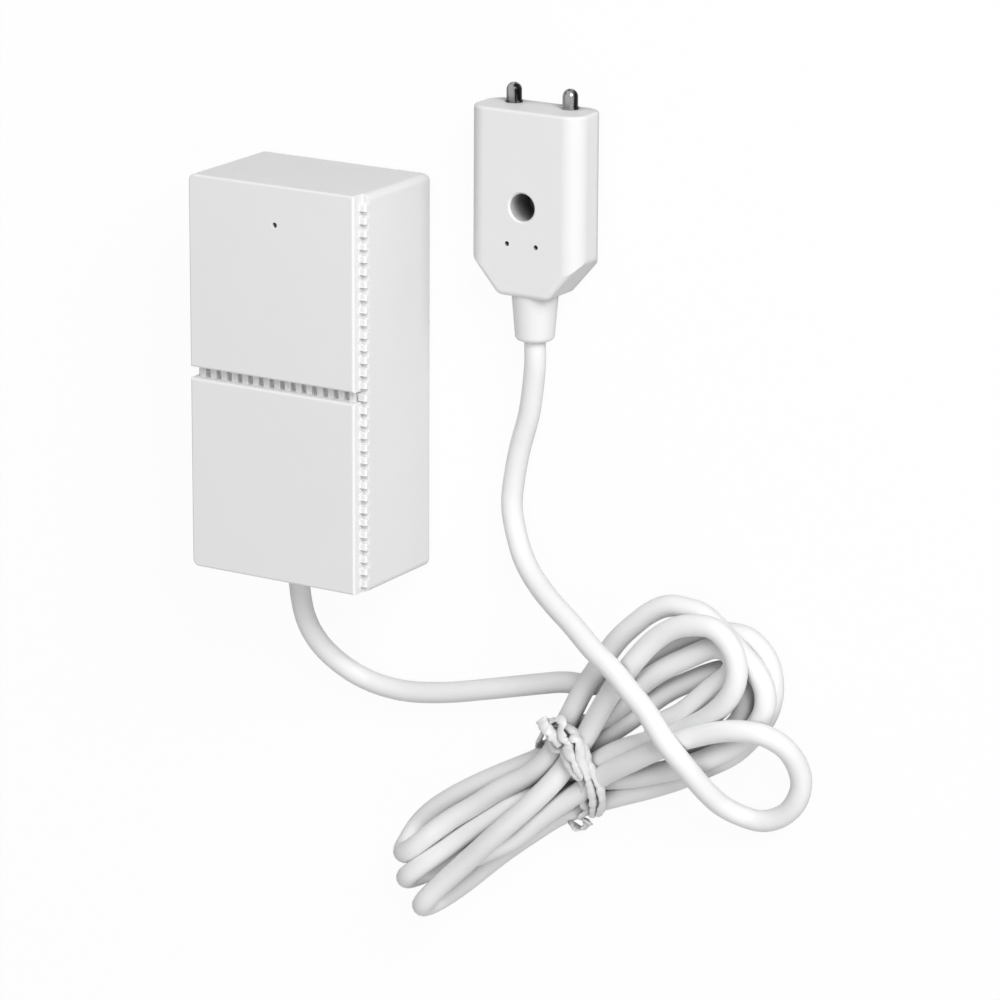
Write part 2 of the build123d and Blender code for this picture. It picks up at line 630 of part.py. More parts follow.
def controller_chip():
    x = -BOARD_WIDTH / 2 + CHIP_WIDTH / 2 + BLOCK_INSET
    return block(CHIP_WIDTH, CHIP_WIDTH, CHIP_HEIGHT, x, BLOCK_FRONT + CHIP_WIDTH / 2, BOARD_TOP)


def capacitors():
    """Two can capacitors beside the tray."""
    x = (HOLDER_WIDTH + BOARD_WIDTH) / 4
    places = (-BLOCK_DEPTH, BLOCK_DEPTH)
    return [post(CAPACITOR_RADIUS, CAPACITOR_HEIGHT, x, y, BOARD_TOP) for y in places]


def antenna():
    """A stamped strip standing on two feet at the board's left edge."""
    arm = Rectangle(ANTENNA_LENGTH, ANTENNA_STRIP, align=(Align.CENTER, Align.MAX))
    shape = Pos(0, ANTENNA_HEIGHT) * arm
    for x in (-ANTENNA_LENGTH / 2, -ANTENNA_LENGTH / 2 + ANTENNA_HEIGHT):
        shape += Pos(x, 0) * Rectangle(ANTENNA_STRIP, ANTENNA_HEIGHT, align=(Align.MIN, Align.MIN))
    x = (-HOLDER_WIDTH - BOARD_WIDTH) / 4
    plane = Plane(origin=(x, 0, BOARD_TOP), x_dir=(0, 1, 0), z_dir=(1, 0, 0))
    return extrude(plane * shape, ANTENNA_THICKNESS / 2, both=True)


def indicator_light():
    led = block(LED_WIDTH, LED_LENGTH, LED_HEIGHT, LIGHT_OFFSET, LIGHT_Y, BOARD_TOP)
    return chamfer(led.edges().filter_by(Axis.Z), LED_WIDTH / 8)


def light_guide():
    """A clear rod from the light up to the hole in the upper plate."""
    bottom = BOARD_TOP + LED_HEIGHT + SEAT_GAP
    shoulder = BOX_DEPTH - WALL - GUIDE_GAP
    rod = post(GUIDE_RADIUS, shoulder - bottom, LIGHT_OFFSET, LIGHT_Y, bottom)
    tip_length = BOX_DEPTH - FRONT_EDGE_RADIUS - shoulder
    return rod + post(LIGHT_HOLE_RADIUS - GUIDE_GAP, tip_length, LIGHT_OFFSET, LIGHT_Y, shoulder)


def box_cores():
    """The cord's two cores from the clamp to the terminal block."""
    cores = []
    for side in (-1, 1):
        x = CORD_EXIT_X + side * CORE_SPACING / 2
        pole_x = CORD_EXIT_X + side * POLE_SPACING / 2
        gap = BLOCK_FRONT - SHEATH_END
        points = [
            (x, SHEATH_END, CORD_EXIT_Z),
            (x, SHEATH_END + gap / 4, CORD_EXIT_Z),
            (pole_x, SHEATH_END + 3 * gap / 4, POLE_HOLE_Z),
            (pole_x, BLOCK_FRONT + POLE_HOLE_DEPTH - SEAT_GAP, POLE_HOLE_Z),
        ]
        core, path, radii = tube_route(points, CORE_RADIUS, [CORE_BEND, CORE_BEND])
        cores.append(core)
    return cores


def probe_outline():
    """The probe's plan: a plate that narrows towards the cord, with soft corners."""
    half = PROBE_WIDTH / 2
    end = TAPER_END_WIDTH / 2
    shape = make_face(
        Polyline(
            (-half, PROBE_TOP_Y),
            (half, PROBE_TOP_Y),
            (half, PROBE_BOTTOM_Y + TAPER_LENGTH),
            (end, PROBE_BOTTOM_Y),
            (-end, PROBE_BOTTOM_Y),
            (-half, PROBE_BOTTOM_Y + TAPER_LENGTH),
            close=True,
        )
    )
    low_corners = shape.vertices().group_by(Axis.Y)[0]
    shape = fillet(low_corners, TAPER_ROUND)
    taper_corners = [v for v in shape.vertices() if abs(v.Y - PROBE_BOTTOM_Y - TAPER_LENGTH) < PROBE_RIM]
    return fillet(taper_corners, TAPER_SIDE_ROUND)


def probe_body():
    """The moulded block round the pins, the screw hole and the cord's boot."""
    slab = extrude(probe_outline(), PROBE_THICKNESS)
    levels = slab.edges().group_by(Axis.Z)
    long_edges = [e for e in levels[0] + levels[-1] if e.center().Y < PROBE_TOP_Y - PROBE_RIM]
    slab = fillet(long_edges, TAPER_EDGE_RADIUS)
    section = RectangleRounded(PROBE_WIDTH, PROBE_THICKNESS, PROBE_SIDE_RADIUS)
    plane = Plane(origin=(0, PROBE_BOTTOM_Y, PROBE_THICKNESS / 2), x_dir=(1, 0, 0), z_dir=(0, 1, 0))
    bar = extrude(plane * section, PROBE_LENGTH)
    body = slab & bar
    top_edges = body.edges().group_by(Axis.Y)[-1]
    body = fillet(top_edges, PROBE_EDGE_RADIUS)
    body = Pos(PROBE_X, 0, 0) * body
    body -= post(PROBE_SCREW_RADIUS, 3 * PROBE_THICKNESS, PROBE_X, PROBE_HOLE_Y, -PROBE_THICKNESS)
    body -= post(PROBE_HOLE_RADIUS, PROBE_THICKNESS, PROBE_X, PROBE_HOLE_Y, PROBE_SCREW_LAND)
    rim_radius = PROBE_HOLE_RADIUS + PROBE_RIM
    rim_cone = Cone(PROBE_HOLE_RADIUS, rim_radius, PROBE_RIM, align=(Align.CENTER, Align.CENTER, Align.MAX))
    body -= Pos(PROBE_X, PROBE_HOLE_Y, PROBE_THICKNESS) * rim_cone
    dimple_y = PROBE_TOP_Y - DIMPLE_FROM_TOP
    dimple_bottom = PROBE_THICKNESS - DIMPLE_DEPTH
    shank_start = PROBE_TOP_Y - PIN_SHANK - PIN_FIT
    for side in (-1, 1):
        dimple_x = PROBE_X + side * DIMPLE_SPACING / 2
        body -= post(DIMPLE_RADIUS, DIMPLE_DEPTH + OVERRUN, dimple_x, dimple_y, dimple_bottom)
        pin_x = PROBE_X + side * PIN_SPACING / 2
        pin_hole = PIN_SHANK_RADIUS + PIN_FIT
        body -= rod_along_y(pin_hole, shank_start, PIN_SHANK + OVERRUN, pin_x, PIN_HEIGHT)
        body -= probe_core(side, CORE_RADIUS + CORD_FIT)[0]
    socket_start = PROBE_BOTTOM_Y - OVERRUN
    body -= rod_along_y(BOOT_RADIUS + BOOT_FIT, socket_start, BOOT_INSERT + OVERRUN, PROBE_X, BOOT_Z)
    return body


def contact_pin(side):
    """A round-nosed metal pin with its shank in the body."""
    x = PROBE_X + side * PIN_SPACING / 2
    shank = rod_along_y(PIN_SHANK_RADIUS, PROBE_TOP_Y - PIN_SHANK, PIN_SHANK, x, PIN_HEIGHT)
    collar = rod_along_y(PIN_COLLAR_RADIUS, PROBE_TOP_Y + PIN_FIT, PIN_COLLAR_HEIGHT, x, PIN_HEIGHT)
    stem = rod_along_y(PIN_RADIUS, PROBE_TOP_Y + PIN_FIT, PIN_PROUD - PIN_RADIUS, x, PIN_HEIGHT)
    nose = Pos(x, PROBE_TOP_Y + PIN_FIT + PIN_PROUD - PIN_RADIUS, PIN_HEIGHT) * Sphere(PIN_RADIUS)
    neck = rod_along_y(PIN_SHANK_RADIUS, PROBE_TOP_Y - PIN_FIT, 3 * PIN_FIT, x, PIN_HEIGHT)
    return shank + neck + collar + stem + nose


def probe_core(side, radius):
    """One core inside the probe, from the cord's end to the pin's rear."""
    cord_end = PROBE_BOTTOM_Y + BOOT_INSERT
    pin_rear = PROBE_TOP_Y - PIN_SHANK - PIN_FIT
    start_x = PROBE_X + side * CORE_SPACING / 2
    pin_x = PROBE_X + side * PIN_SPACING / 2
    third = (pin_rear - cord_end) / 3
    points = [
        (start_x, PROBE_SHEATH_END + CORD_FIT, BOOT_Z),
        (start_x, cord_end + third / 3, BOOT_Z),
        (pin_x, cord_end + third, PIN_HEIGHT),
        (pin_x, pin_rear, PIN_HEIGHT),
    ]
    return tube_route(points, radius, [2 * CORE_BEND, 2 * CORE_BEND])


def probe_boot():
    """The tapered sleeve that holds the cord where it enters the probe."""
    end = PROBE_BOTTOM_Y - BOOT_LENGTH
    inner = PROBE_BOTTOM_Y + BOOT_INSERT - BOOT_FIT
    profile = Polyline(
        (0, end),
        (BOOT_END_RADIUS, end),
        (BOOT_RADIUS, PROBE_BOTTOM_Y - BOOT_FIT),
        (BOOT_RADIUS, inner),
        (0, inner),
        close=True,
    )
    face = make_face(profile)
    corner = face.vertices().sort_by(Axis.Y)[0:2].sort_by(Axis.X)[-1]
    face = fillet(corner, BOOT_ROUND)
    sleeve = Pos(PROBE_X, 0, BOOT_Z) * revolve(face, Axis.Y)
    sleeve -= rod_along_y(CORD_RADIUS + CORD_FIT, end - OVERRUN, BOOT_BORE + OVERRUN, PROBE_X, BOOT_Z)
    for side in (-1, 1):
        core_x = PROBE_X + side * CORE_SPACING / 2
        sleeve -= rod_along_y(CORE_RADIUS + CORD_FIT, PROBE_SHEATH_END, BOOT_LENGTH, core_x, BOOT_Z)
    return sleeve


# The cord's route, box side: from the clamp, down to the table and along to the hank
BOX_SIDE_ROUTE = [
    (CORD_EXIT_X, SHEATH_END, CORD_EXIT_Z),
    (CORD_EXIT_X, SHEATH_END - FIRST_RUN, CORD_EXIT_Z),
    (-1.0, -63.0, 6.5),
    (10.0, -69.0, 2.3),
    (24.0, -67.5, 2.3),
    (38.0, -64.0, 2.3),
    (52.0, -59.8, 2.4),
    (64.0, -58.8, 2.6),
]

# The cord's route, probe side: over the hank's top, round on the table and back into the hank
PROBE_SIDE_ROUTE = [
    (PROBE_X, PROBE_SHEATH_END, BOOT_Z),
    (PROBE_X, 5.0, BOOT_Z),
    (45.5, -8.0, 2.8),
    (40.6, -21.0, 2.3),
    (42.4, -32.5, 3.2),
    (50.5, -39.0, 7.4),
    (59.5, -43.4, 11.6),
    (68.5, -48.6, 14.6),
    (76.5, -54.0, 15.4),
    (82.5, -60.0, 15.4),
    (87.6, -66.8, 14.2),
    (91.2, -72.4, 10.4),
    (94.4, -77.2, 6.6),
    (98.6, -79.8, 3.8),
    (103.4, -79.9, 2.7),
    (107.4, -77.0, 2.4),
    (109.2, -72.4, 2.4),
    (108.5, -67.4, 2.8),
    (105.4, -63.6, 3.8),
    (100.8, -61.8, 5.0),
]


def hank_frame(shape):
    """Turn a shape from the hank's own axes into the row's."""
    return Pos(HANK_X, HANK_Y, 0) * (Rot(0, 0, HANK_ANGLE) * shape)


def cord_hank():
    """The closed outer shape of the tied hank, with a neck where the tie goes round."""
    shoulder = WAIST_LENGTH / 2
    neck_line = Line((shoulder, -WAIST_WIDTH / 2), (shoulder, WAIST_WIDTH / 2))
    ring = Pos(LOOPS_REACH - LOOPS_LENGTH / 2, LOOPS_SIDE) * Ellipse(LOOPS_LENGTH / 2, LOOPS_WIDTH / 2)
    loops = extrude(make_hull(ring.edges() + [neck_line]), LOOPS_THICKNESS)
    folds_length = FOLDS_REACH - shoulder
    folds_middle = -shoulder - folds_length / 2
    slab = RectangleRounded(folds_length, FOLDS_WIDTH, FOLDS_CORNER_RADIUS)
    folds = extrude(Pos(folds_middle, FOLDS_SIDE) * slab, FOLDS_THICKNESS)
    loops = fillet(loops.edges().group_by(Axis.Z)[-1], HANK_EDGE_RADIUS)
    folds = fillet(folds.edges().group_by(Axis.Z)[-1], HANK_EDGE_RADIUS)
    plane = Plane(origin=(-shoulder - OVERRUN, 0, WAIST_BOTTOM), x_dir=(0, 1, 0), z_dir=(1, 0, 0))
    section = Pos(0, WAIST_HEIGHT / 2) * RectangleRounded(WAIST_WIDTH, WAIST_HEIGHT, WAIST_EDGE_RADIUS)
    waist = extrude(plane * section, WAIST_LENGTH + 2 * OVERRUN)
    return hank_frame(loops + folds + waist)


def tie_band(offset):
    """One turn of the tie round the hank's waist."""
    inner_radius = WAIST_EDGE_RADIUS + TIE_GAP
    plane = Plane(origin=(offset - TIE_WIDTH / 2, 0, WAIST_BOTTOM), x_dir=(0, 1, 0), z_dir=(1, 0, 0))
    inner = RectangleRounded(WAIST_WIDTH + 2 * TIE_GAP, WAIST_HEIGHT + 2 * TIE_GAP, inner_radius)
    outer = RectangleRounded(
        WAIST_WIDTH + 2 * TIE_GAP + 2 * TIE_THICKNESS,
        WAIST_HEIGHT + 2 * TIE_GAP + 2 * TIE_THICKNESS,
        inner_radius + TIE_THICKNESS,
    )
    return extrude(plane * (Pos(0, WAIST_HEIGHT / 2) * (outer - inner)), TIE_WIDTH)


def hank_tie():
    """A coated wire tie: two turns round the waist and the twisted ends on top."""
    tie = tie_band(-TIE_PITCH / 2) + tie_band(TIE_PITCH / 2)
    top = WAIST_TOP + TIE_GAP + TIE_THICKNESS
    side = WAIST_WIDTH / 2
    bridge = block(TIE_PITCH, TIE_WIDTH, TIE_THICKNESS, 0, side / 2, top - TIE_THICKNESS)
    tail_points = [
        (0, side / 2, top - TIE_TAIL_RADIUS),
        (-TIE_PITCH, side, top + TIE_TAIL_RADIUS),
        (-2 * TIE_PITCH, side / 2, top + TIE_TAIL_RADIUS),
        (-2 * TIE_PITCH, -side / 5, top - TIE_TAIL_RADIUS / 2),
    ]
    tail, path, radii = tube_route(tail_points, TIE_TAIL_RADIUS, [TIE_BEND, TIE_BEND])
    return hank_frame(tie + bridge + tail)


def free_cord(name, route):
    """A tube along a hand-set route, with its radii and volume printed for a check."""
    tube, path, radii = tube_route(route, CORD_RADIUS)
    section = math.pi * CORD_RADIUS ** 2
    print(name, "radii", [round(r, 1) for r in radii], "length", round(path.length, 1))
    print(name, "volume over section times length", round(tube.volume / section / path.length, 4))
    return tube


def main():
    hank = cord_hank()
    tie = hank_tie()
    nodes = {
        "front_cover": front_cover(),
        "rear_base": rear_base(),
        "cover_screws": cover_screws(),
        "cord_gland": cord_gland(),
        "cord_clamp": cord_clamp(),
        "clamp_screws": clamp_screws(),
        "circuit_board": circuit_board(),
        "board_screws": board_screws(),
        "cell_holder": cell_holder(),
        "cell_left": cell(-1),
        "cell_right": cell(1),
        "contact_plates": contact_plates(),
        "contact_springs": contact_springs(),
        "terminal_block": terminal_block(),
        "terminal_screws": terminal_screws(),
        "radio_module": radio_module(),
        "controller_chip": controller_chip(),
        "capacitors": capacitors(),
        "antenna": antenna(),
        "indicator_light": indicator_light(),
        "light_guide": light_guide(),
        "box_cores": box_cores(),
        "probe_body": probe_body(),
        "contact_pin_left": contact_pin(-1),
        "contact_pin_right": contact_pin(1),
        "probe_cores": [probe_core(side, CORE_RADIUS)[0] for side in (-1, 1)],
        "probe_boot": probe_boot(),
        "cord_box_side": free_cord("box side", BOX_SIDE_ROUTE) - hank,
        "cord_hank": hank,
        "cord_probe_side": free_cord("probe side", PROBE_SIDE_ROUTE) - hank,
        "hank_tie": tie,
    }
    for name, shape in nodes.items():
        solid = Compound(children=shape) if isinstance(shape, list) else shape
        export_step(solid, "parts/" + name + ".step")


main()
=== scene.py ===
import math

import bmesh
import bpy
from mathutils import Matrix, Vector, noise


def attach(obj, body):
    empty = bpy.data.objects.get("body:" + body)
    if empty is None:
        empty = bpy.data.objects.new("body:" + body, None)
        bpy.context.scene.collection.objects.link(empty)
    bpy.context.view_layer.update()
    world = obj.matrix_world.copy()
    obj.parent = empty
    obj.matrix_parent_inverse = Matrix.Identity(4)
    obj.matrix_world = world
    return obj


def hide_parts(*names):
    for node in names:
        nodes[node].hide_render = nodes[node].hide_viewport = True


# Looks for the flood sensor: the cord and its tie, the finishes, the floor, the light and the camera.
# Lengths are millimetres in the row's frame, unless a comment says metres. MM turns them into metres.
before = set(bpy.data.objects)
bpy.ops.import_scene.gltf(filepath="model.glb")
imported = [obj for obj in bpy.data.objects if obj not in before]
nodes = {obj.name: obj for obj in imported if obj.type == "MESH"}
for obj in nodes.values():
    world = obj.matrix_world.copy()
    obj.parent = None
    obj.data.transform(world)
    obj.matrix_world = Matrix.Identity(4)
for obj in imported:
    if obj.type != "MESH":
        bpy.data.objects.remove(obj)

MM = 0.001

# The cord, with its smoothness round the ring and along the route
CORD_RADIUS = 2.2
CORD_RING_STEPS = 5
CORD_STEPS = 6

# Uncoiled stretch from the box's bottom end, along the table to the hank
FROM_BOX = [
    (-3.6, -34.2, 13.3), (-3.6, -47.5, 13.3), (-2.6, -58.5, 9.2), (3.2, -66.6, 3.4), (13, -68.9, 2.2),
    (24, -67.6, 2.2), (37, -64.2, 2.2), (49.2, -60.9, 2.2), (53.9, -59.7, 2.2), (59.3, -59.6, 2.2),
]

# Lowest loop, out to the hank's right end and back to the tie
LOW_LOOP = [
    (64.5, -58, 2.2), (69, -54.5, 2.2), (73.5, -50.5, 2.2), (78.5, -47.5, 2.2), (83, -45, 2.2),
    (87.5, -43.5, 2.2), (91.5, -43, 2.2), (95.5, -43, 2.2), (98.5, -45, 2.2), (100.5, -47.5, 2.2),
    (101.5, -51, 2.2), (101.5, -55, 2.2), (100, -59.5, 2.2), (96.5, -64.5, 2.2), (92.5, -68.5, 2.2),
    (86.5, -72, 2.2), (81, -75.5, 2.2), (73.5, -79, 2.2), (65, -82.5, 2.2),
]

# Front fold at the left end: out along the table and back on top
FRONT_FOLD = [
    (54, -87.5, 2.2), (47, -93, 2.2), (39, -99.5, 2.2), (30.5, -107.5, 2.2), (25.5, -111.6, 2.2),
    (23.4, -113.1, 4.5), (23.4, -112.6, 8), (24.9, -110.7, 10), (28.5, -106.5, 9.5), (35, -100, 9.5),
    (42.5, -92.5, 10.5), (49.5, -85.5, 10), (54, -80.5, 9), (57, -76.5, 8), (58.5, -73.5, 7),
]

# Top loop over the others
TOP_LOOP = [
    (62, -68.5, 7.5), (65.5, -62.5, 8.5), (69.5, -56.5, 10), (73.5, -51, 10.5), (77, -46.5, 10.5),
    (80.5, -43, 10.5), (84.5, -40.5, 10.5), (89, -39.5, 10.5), (92.5, -39.5, 10.5), (95.5, -41.5, 10.5),
    (97.5, -44.5, 10.5), (98, -48.5, 10.5), (97, -52, 10.5), (94.5, -55.5, 10), (90, -59.5, 9),
    (84.5, -63, 7.5), (79, -66, 7), (73, -68.5, 7), (67, -71.5, 6.5), (60.5, -76.5, 5.5),
]

# Middle fold at the left end
MIDDLE_FOLD = [
    (55, -78.5, 3), (50, -82.5, 3), (45, -85.5, 5), (40, -90, 6), (34, -94.5, 6.5),
    (29.3, -98.6, 8), (25.2, -101.8, 9.5), (21.2, -105.4, 10), (19.2, -107.3, 7.7), (19.5, -107.8, 4.5),
    (21.6, -106.8, 2.2), (24.8, -104.7, 2.2), (28.2, -102, 2.2), (34, -96.5, 2.2), (40.5, -89.5, 2.2),
    (46, -84, 2.2), (50.5, -78.5, 2.2), (58, -73, 2.2),
]

# Short inner loop, its return and the small loop back to the tie
INNER_LOOP = [
    (61.5, -71, 2.2), (65.5, -68, 2.2), (70.5, -64, 2.2), (74, -60.5, 2.2), (78.5, -57, 2.2),
    (83, -54.5, 2.2), (86.5, -52.5, 2.2), (90, -51, 2.2), (93, -51, 2.2), (95, -53, 2.2),
    (95.5, -56, 2.2), (95, -59.5, 2.2), (93, -62.5, 2.2), (89, -65.5, 2.2), (84, -67.5, 2.2),
    (81.2, -68.4, 2.2), (78.8, -68.8, 2.2), (76.6, -68.1, 3), (76, -65.9, 4.4), (77.2, -64.1, 5.4),
    (79.2, -62.6, 6), (81.4, -61.3, 6.4), (84, -59.5, 6.5), (87.5, -56, 6.5), (90.5, -53, 6.5),
    (93, -51, 6.5), (94.8, -49, 6.5), (95, -46.8, 6.5), (93.5, -45.2, 6.5), (91, -44.8, 6.5),
    (88.2, -46, 6.5), (84, -48.5, 6.5), (79, -51.5, 6.5), (74, -55.5, 6.5), (69.5, -60.5, 5.5),
    (64.5, -65, 3.5), (60, -68, 2.5), (55, -68.5, 2.2),
]

# Back fold at the left end
BACK_FOLD = [
    (52, -73.5, 2.2), (48.5, -77, 2.2), (44, -79.5, 2.2), (38.5, -82.5, 2.2), (32.5, -86, 2.2),
    (26.5, -90, 2.2), (22, -93.6, 2.2), (18.8, -97.2, 2.4), (17.9, -100.2, 4.6), (18.3, -101.7, 7.7),
    (21, -100.6, 9.8), (25.2, -96.5, 9.5), (30, -92.2, 7.5), (35.5, -88.4, 6.5), (41, -84, 6.5),
    (47.5, -80, 6.5), (51, -77, 7), (54, -73.5, 7), (55.5, -69, 6.5),
]

# Widest loop, second layer
WIDE_LOOP = [
    (58, -64.5, 6.5), (60.5, -59, 6.2), (64.5, -53, 6.2), (68, -47.5, 6.2), (72, -43.5, 6.2),
    (76, -40, 6.2), (80, -38, 6.2), (84, -38, 6.2), (87.5, -38.5, 6.2), (90.5, -40.5, 6.2),
    (93.5, -43, 6.2), (96.5, -45.5, 6.2), (99, -47.5, 6.2), (101, -50, 6.2), (102, -52.5, 6.2),
    (102, -56, 6.2), (100, -60, 6.2), (96.5, -64, 6.2), (91, -67.5, 6.2), (85.5, -70.5, 6.2),
    (78.5, -73.5, 5.5), (71, -76.5, 4.5), (62.5, -79, 2.2),
]

# Small fold under the front one
SMALL_FOLD = [
    (56.5, -81, 2.2), (51, -85, 2.2), (46, -89.5, 2.2), (41.5, -94, 2.2), (38.8, -96.4, 2.2),
    (36.4, -98.6, 2.2), (35.1, -99.8, 3.8), (35.1, -99.8, 6), (36.5, -98.8, 7.5), (39.2, -97.2, 7.5),
    (42, -95.8, 7), (45.5, -93.5, 6.5), (50.5, -88.5, 6.5), (56, -84, 6.5), (62.5, -79, 6.5),
]

# Uncoiled stretch to the probe: round on the table, over the hank and down to the boot
TO_PROBE = [
    (66.5, -75.5, 7.5), (73, -71.5, 9.5), (80, -67, 11), (86.5, -63.5, 11), (91.5, -61.5, 11),
    (96, -60, 11), (100.5, -59.5, 10.5), (104, -60, 9.5), (107, -62.5, 7), (108.5, -66.5, 4.5),
    (109, -71, 3), (107.5, -75.5, 2.5), (104.5, -79, 2.2), (100, -81, 2.5), (96, -80.5, 3),
    (92.5, -78, 6), (90.5, -73.5, 10), (88, -68, 13.5), (84.5, -63, 15.5), (80.5, -57.5, 15.5),
    (76.5, -54, 15.5), (72.5, -50.5, 15), (67, -47.5, 14), (61.5, -44, 12), (55.5, -41, 10),
    (50, -38, 7.5), (45.5, -34.5, 5), (42.5, -30, 3), (41, -24.5, 2.5), (41.5, -19, 2.2),
    (43, -12, 2.5), (45.5, -5, 3), (47, 2, 4), (48, 7, 5), (48, 11.5, 5.3),
    (48, 17.5, 5.3),
]

# The whole route, from the box to the probe
STRANDS = [
    FROM_BOX, LOW_LOOP, FRONT_FOLD, TOP_LOOP, MIDDLE_FOLD, INNER_LOOP,
    BACK_FOLD, WIDE_LOOP, SMALL_FOLD, TO_PROBE,
]

# The tie: a flat coated strip, twisted and crumpled
TIE_WIDTH = 1.9
TIE_THICKNESS = 0.7
TIE_FLAP_WIDTH = 1.3 * TIE_WIDTH
TIE_STEPS = 9
TIE_SIDES = 12

# How blunt the strip's corners are, and the ridge its wire makes along the middle
TIE_BLUNTNESS = 0.7
RIDGE_SHARE = 0.5
RIDGE_REACH = 0.2

# The middle of the bundle that the strip goes round
TIE_MIDDLE = (59.5, -75.5, 5.5)

# How fast the strip turns its flat side outward, and how much it swells and leans as it goes
TURN_SHARE = 0.35
SWELL_SHARE = 0.35
LEAN_ANGLE = 0.6
CRUMPLES_PER_METRE = 900
LEANS_PER_CRUMPLE = 0.6
LEAN_SHIFT = Vector((7, 3, 5))

# The main strip's start, hooked into the knot
TIE_HOOK = [
    (54.6, -65, 11), (54.4, -66.6, 11.3), (55.2, -68, 11), (55.3, -69.9, 10.6), (56.6, -71, 10.4),
    (58.5, -70.9, 10.7), (59.8, -69.4, 11.2), (61, -68, 11.4),
]

# First turn: down over the strands, under them and up at the left
FIRST_TURN = [
    (62.3, -68.3, 11), (62.6, -70.3, 10.9), (62.8, -72.4, 10.7), (63.7, -74.6, 10.2), (64.2, -77, 9.7),
    (64.3, -80.1, 8.8), (63.7, -83.2, 7), (61.8, -86.4, 4), (59.5, -83, 1.5), (56, -77, 1.3),
    (52, -73.5, 1.5), (49.4, -73.2, 4.6), (51.6, -70.4, 7.8), (54.4, -67, 9.6),
]

# Second turn, under the first one at the top and beside it below
SECOND_TURN = [
    (58, -66, 9.8), (61.4, -67.8, 9.8), (63, -70.6, 9.7), (63.8, -73.2, 9.4), (65.6, -76.6, 9),
    (66.1, -79.4, 8.2), (65.6, -82.4, 6.8), (63.2, -85.8, 4.4), (61, -82, 1.5), (57, -75, 1.3),
    (53.5, -70.5, 1.6), (51.4, -68.8, 5.5), (53.4, -66.4, 9),
]

# Back into the knot, and the leaf-shaped fold that hangs from it
TIE_LEAF = [
    (55.8, -65.4, 10.6), (57.8, -64.4, 11), (58.9, -65, 11.7), (58.7, -66.6, 12), (59.4, -68.2, 11.9),
    (60.8, -69, 11.7), (60.2, -70.2, 11.9), (59.2, -71, 11.5), (59.6, -73.2, 11), (60.9, -75, 10.8),
    (62.2, -76.1, 10.4), (62.2, -74.6, 11), (61.6, -72.7, 11.3), (60.6, -71.2, 11.7), (60.4, -69.6, 12.1),
]

# The flat end laid over the knot
TIE_FLAP = [
    (53.8, -65.2, 11.4), (55, -66.4, 12), (56.4, -67.2, 12), (57.6, -68.4, 11.8), (58.6, -69.8, 11.4),
]

# The other end: down beside the turns and curled at the bottom
TIE_END = [
    (62.2, -74.4, 9), (62.1, -76.8, 8.8), (62.2, -79.4, 8.2), (60.9, -83.2, 6.4), (61.4, -85, 5.2),
    (59.6, -86.6, 4.8), (59.2, -87.4, 4.2), (60.3, -88.2, 3.5), (59.4, -89.6, 2.8), (57.8, -90.4, 2.6),
    (56.6, -89.9, 2.9), (56.4, -89, 3.7),
]

TIE_STRIP = TIE_HOOK + FIRST_TURN + SECOND_TURN + TIE_LEAF


def in_metres(points):
    return [Vector(point) * MM for point in points]


def new_object(name, data):
    """An object of the scene that shows the data."""
    thing = bpy.data.objects.new(name, data)
    bpy.context.scene.collection.objects.link(thing)
    return thing


def build_cord(points):
    """One open spline of the cord's own thickness."""
    curve = bpy.data.curves.new("cord", "CURVE")
    curve.dimensions = "3D"
    curve.bevel_depth = CORD_RADIUS * MM
    curve.bevel_resolution = CORD_RING_STEPS
    curve.resolution_u = CORD_STEPS
    curve.use_fill_caps = True
    spline = curve.splines.new("NURBS")
    spline.points.add(len(points) - 1)
    for control, place in zip(spline.points, in_metres(points)):
        control.co = (*place, 1)
    spline.order_u = 3
    spline.use_endpoint_u = True
    return new_object("cord", curve)


def smooth_line(points, steps):
    """A smooth line through the points, each stretch between two of them split into steps."""
    line = []
    padded = [points[0]] + points + [points[-1]]
    for before, start, end, after in zip(padded, padded[1:], padded[2:], padded[3:]):
        for i in range(steps):
            t = i / steps
            slope = (end - before) * t
            bend = (2 * before - 5 * start + 4 * end - after) * t ** 2
            twist = (3 * start - before - 3 * end + after) * t ** 3
            line.append(0.5 * (2 * start + slope + bend + twist))
    return line + [points[-1]]


def strip_outline():
    """Corners round the strip, as shares of half its width and half its thickness."""
    outline = []
    for i in range(TIE_SIDES):
        angle = 2 * math.pi * i / TIE_SIDES
        across = math.copysign(abs(math.cos(angle)) ** TIE_BLUNTNESS, math.cos(angle))
        rise = math.copysign(abs(math.sin(angle)) ** TIE_BLUNTNESS, math.sin(angle))
        ridge = 1 + RIDGE_SHARE * (abs(math.cos(angle)) < RIDGE_REACH)
        outline.append((across, rise * ridge))
    return outline


def strip_places(line):
    """Each place on the line with the strip's sideways and upward directions there."""
    middle = Vector(TIE_MIDDLE) * MM
    side = None
    places = []
    for i, place in enumerate(line):
        along = line[min(i + 1, len(line) - 1)] - line[max(i - 1, 0)]
        along.normalize()
        outward = place - middle
        outward -= along * outward.dot(along)
        outward.normalize()
        wanted = along.cross(outward)
        if side is None:
            side = wanted
        side = side + TURN_SHARE * (wanted if wanted.dot(side) > 0 else -wanted)
        side -= along * side.dot(along)
        side.normalize()
        places.append((place, side, side.cross(along)))
    return places


def crumpled_ring(place, side, up, width, outline):
    """The strip's outline at one place, swollen and leaning by noise."""
    seed = place * CRUMPLES_PER_METRE
    swell = 1 + SWELL_SHARE * noise.noise(seed)
    lean = LEAN_ANGLE * noise.noise(seed * LEANS_PER_CRUMPLE + LEAN_SHIFT)
    half_width = (side * math.cos(lean) + up * math.sin(lean)) * (width * swell / 2 * MM)
    half_rise = (up * math.cos(lean) - side * math.sin(lean)) * (TIE_THICKNESS * swell / 2 * MM)
    return [place + half_width * across + half_rise * rise for across, rise in outline]


